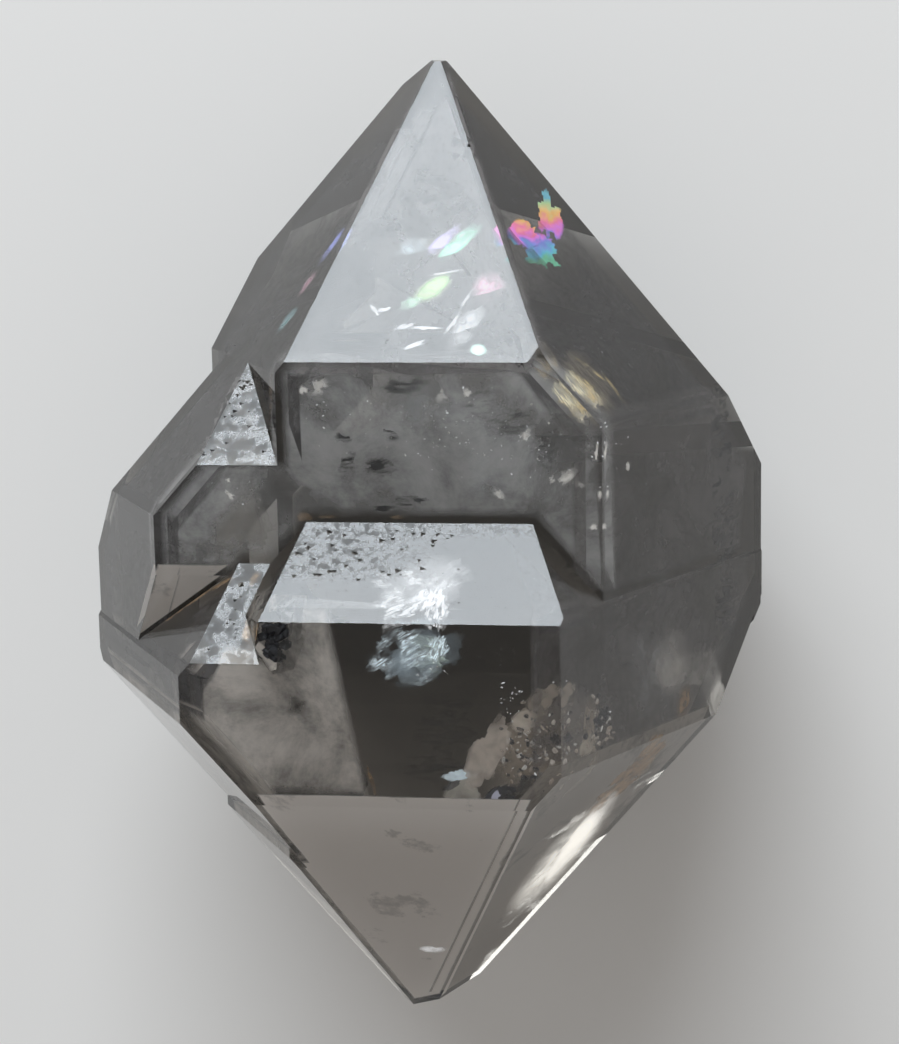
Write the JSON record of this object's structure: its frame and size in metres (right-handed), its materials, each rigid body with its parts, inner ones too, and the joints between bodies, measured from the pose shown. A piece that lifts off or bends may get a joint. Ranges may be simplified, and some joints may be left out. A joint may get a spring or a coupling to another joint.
{
  "type": "herkimer diamond crystal",
  "caption": "Clear doubly terminated quartz crystal with stepped parallel faces, a pointed tip at each end, and a flat back to rest on.",
  "frame": {"origin": "on the plane of the resting face, under the middle of the crystal's width and length", "axes": "+Y along the crystal's long axis towards its sharper upper tip, +Z out of the front prism face, away from the resting face, +X to the right seen from the front"},
  "size_m": [0.0156, 0.0222, 0.0116],
  "materials": {
    "clear_quartz": "clear and glassy with a slight warm grey, faint growth lines and small etch pits"
  },
  "bodies": {
    "root": {"herkimer_crystal": "clear_quartz"}
  },
  "joints": []
}
